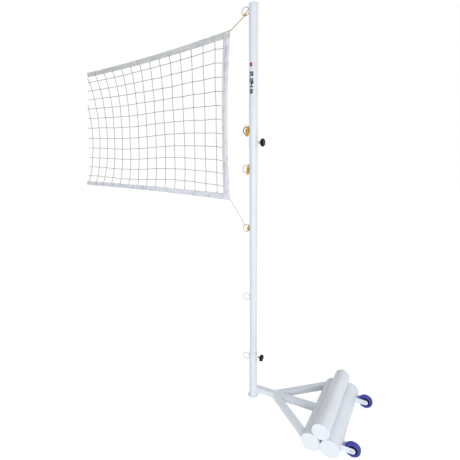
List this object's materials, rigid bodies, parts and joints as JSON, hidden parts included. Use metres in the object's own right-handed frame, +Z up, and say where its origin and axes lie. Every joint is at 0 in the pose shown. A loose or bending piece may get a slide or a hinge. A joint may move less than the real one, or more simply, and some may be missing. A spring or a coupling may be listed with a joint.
{
  "type": "volleyball net post",
  "caption": "Free-standing net post on a weighted base with two wheels, with a sliding upper tube, clamp knobs, rope rings and the net tied to it.",
  "frame": {"origin": "on the floor, at the centre of the round foot under the post", "axes": "+Z up along the post, +X from the post to the weighted base and its wheels, the net runs along -X"},
  "size_m": [2.2977, 0.6, 2.55],
  "materials": {
    "white_paint": "white powder coat",
    "post_paint": "white powder coat, faintly blue",
    "ring_steel": "pale powder coat on wire",
    "dark_steel": "black finish",
    "ballast_iron": "raw",
    "zinc": "zinc plated",
    "stem_brass": "dull",
    "black_plastic": "moulded",
    "tyre_blue": "blue rubber",
    "foot_rubber": "moulded",
    "gold_rope": "golden yellow rope",
    "pale_rope": "pale olive rope",
    "band_cloth": "white tape",
    "twine": "knotted twine"
  },
  "bodies": {
    "base": {"foot_pad": "foot_rubber", "foot_plate": "white_paint", "socket_tube": "white_paint", "socket_nut": "white_paint", "ring_base": "ring_steel", "main_arm": "white_paint", "branch_near": "white_paint", "branch_far": "white_paint", "pipe_front": "white_paint", "end_plates_front": "white_paint", "ballast_core_front": "ballast_iron", "pipe_rear": "white_paint", "end_plates_rear": "white_paint", "ballast_core_rear": "ballast_iron", "pipe_top": "white_paint", "end_plates_top": "white_paint", "ballast_core_top": "ballast_iron", "wheel_cheek_near_outer": "white_paint", "wheel_cheek_near_inner": "white_paint", "axle_spacer_near": "zinc", "axle_bolt_near": "zinc", "axle_nut_near": "zinc", "wheel_cheek_far_outer": "white_paint", "wheel_cheek_far_inner": "white_paint", "axle_spacer_far": "zinc", "axle_bolt_far": "zinc", "axle_nut_far": "zinc"},
    "wheel_near": {"wheel_hub_near": "black_plastic", "tyre_near": "tyre_blue"},
    "wheel_far": {"wheel_hub_far": "black_plastic", "tyre_far": "tyre_blue"},
    "lower_knob": {"lower_knob": "black_plastic", "lower_screw": "stem_brass"},
    "mast": {"mast_plug": "black_plastic", "mast_tube": "post_paint", "ring_spare": "ring_steel", "ring_tie": "ring_steel", "ring_low": "ring_steel", "rope_hank_middle": "gold_rope", "rope_hank_lower": "gold_rope"},
    "top": {"upper_tube": "post_paint", "top_cap": "post_paint", "upper_nut": "white_paint", "ring_top": "ring_steel", "ring_dark": "dark_steel", "rope_hank_upper": "gold_rope", "upper_rope": "gold_rope", "upper_rope_knot": "gold_rope", "lower_rope": "pale_rope", "net_mesh": "twine", "top_band": "band_cloth", "bottom_band": "band_cloth", "side_band": "band_cloth", "head_cord": "gold_rope", "foot_cord": "pale_rope"},
    "upper_knob": {"upper_knob": "black_plastic", "upper_screw": "stem_brass"}
  },
  "joints": [
    {"name": "mast_lift", "type": "slide", "parent": "base", "child": "mast", "axis": [0, 0, 1], "range_m": [0, 0.3]},
    {"name": "height_slide", "type": "slide", "parent": "mast", "child": "top", "axis": [0, 0, 1], "range_m": [-0.1, 0.15], "deforming": ["lower_rope"]},
    {"name": "lower_knob_turn", "type": "hinge", "parent": "base", "child": "lower_knob", "pos_m": [0, 0, 0.313], "axis": [1, 0, 0], "range_deg": [0, 540]},
    {"name": "upper_knob_turn", "type": "hinge", "parent": "top", "child": "upper_knob", "pos_m": [0, 0, 1.772], "axis": [1, 0, 0], "range_deg": [0, 540]},
    {"name": "wheel_near_spin", "type": "hinge", "parent": "base", "child": "wheel_near", "pos_m": [0.73215, -0.23, 0.0526], "axis": [0, 1, 0], "continuous": true},
    {"name": "wheel_far_spin", "type": "hinge", "parent": "base", "child": "wheel_far", "pos_m": [0.73215, 0.23, 0.0526], "axis": [0, 1, 0], "continuous": true}
  ]
}
